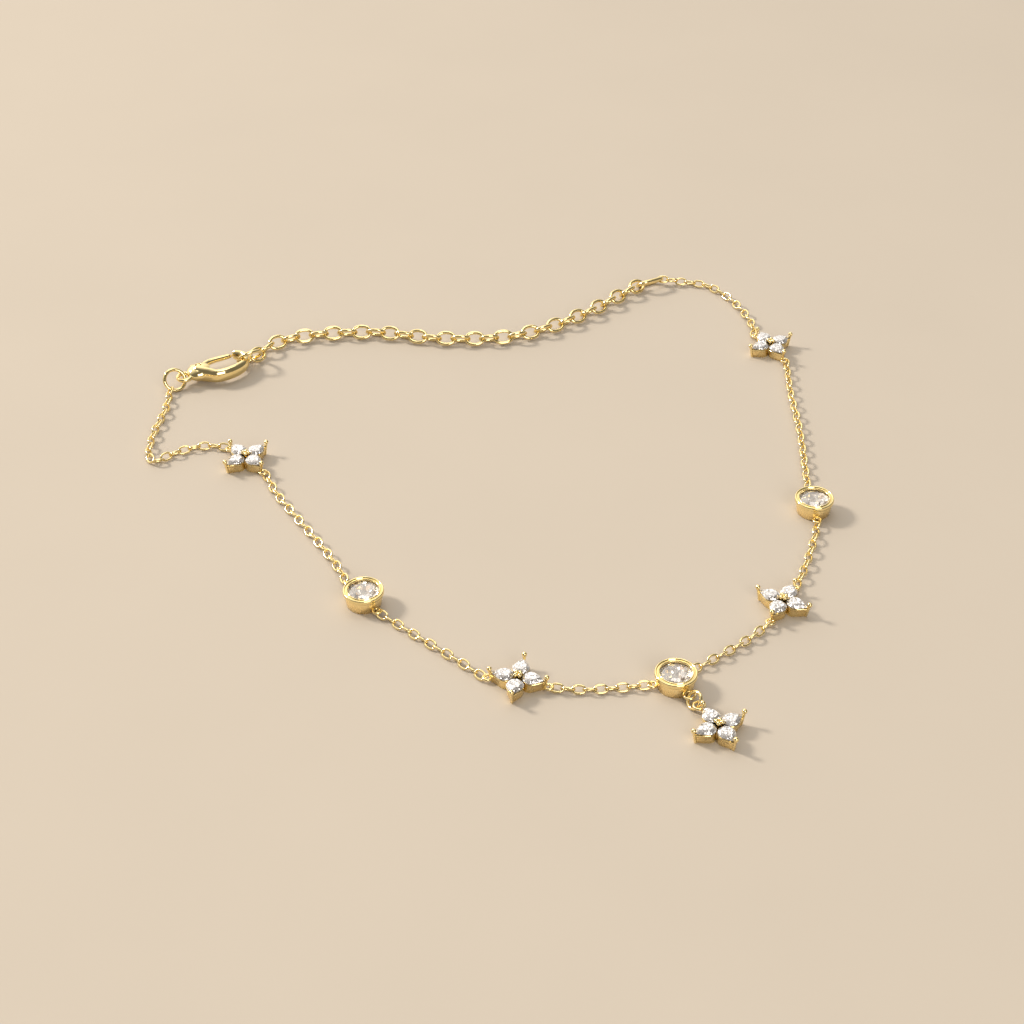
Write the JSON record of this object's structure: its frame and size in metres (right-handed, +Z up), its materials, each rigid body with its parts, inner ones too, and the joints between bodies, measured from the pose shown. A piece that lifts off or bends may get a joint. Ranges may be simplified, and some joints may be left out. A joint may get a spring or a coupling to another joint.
{
  "type": "charm anklet",
  "caption": "Fine-chain anklet with round bezel stones, petal-shaped flower charms, a hanging flower drop, and a lobster clasp hooked to an extender chain.",
  "frame": {"origin": "middle of the laid-out loop's bounding box, on the surface that it lies on", "axes": "+Z up off the surface, +Y along the loop's longer side towards the extender chain, +X towards the side with the third bezel"},
  "size_m": [0.0795, 0.0901, 0.0028],
  "materials": {
    "gold": "polished gold plate",
    "crystal": "clear, faceted and polished"
  },
  "bodies": {
    "anklet": {"flower_1_setting": "gold", "flower_1_stone_1": "crystal", "flower_1_stone_2": "crystal", "flower_1_stone_3": "crystal", "flower_1_stone_4": "crystal", "flower_2_setting": "gold", "flower_2_stone_1": "crystal", "flower_2_stone_2": "crystal", "flower_2_stone_3": "crystal", "flower_2_stone_4": "crystal", "flower_3_setting": "gold", "flower_3_stone_1": "crystal", "flower_3_stone_2": "crystal", "flower_3_stone_3": "crystal", "flower_3_stone_4": "crystal", "flower_4_setting": "gold", "flower_4_stone_1": "crystal", "flower_4_stone_2": "crystal", "flower_4_stone_3": "crystal", "flower_4_stone_4": "crystal", "drop_setting": "gold", "drop_stone_1": "crystal", "drop_stone_2": "crystal", "drop_stone_3": "crystal", "drop_stone_4": "crystal", "bezel_1_setting": "gold", "bezel_1_stone": "crystal", "bezel_2_setting": "gold", "bezel_2_stone": "crystal", "bezel_3_setting": "gold", "bezel_3_stone": "crystal", "drop_ring": "gold", "chain_1": "gold", "chain_2": "gold", "chain_3": "gold", "chain_4": "gold", "chain_5": "gold", "chain_6": "gold", "chain_7": "gold", "chain_8": "gold", "connector_ring": "gold", "extender_chain": "gold", "clasp_end_ring": "gold", "clasp_body": "gold", "clasp_pin": "gold", "clasp_tail_ring": "gold"},
    "lever": {"clasp_lever": "gold"}
  },
  "joints": [
    {"name": "clasp_lever_hinge", "type": "hinge", "parent": "anklet", "child": "lever", "pos_m": [-0.03531, 0.02164, 0.00123], "axis": [0, 0, -1], "range_deg": [0, 24], "stiffness_Nm_per_rad": 0.0005, "springref_deg": -28.65}
  ]
}
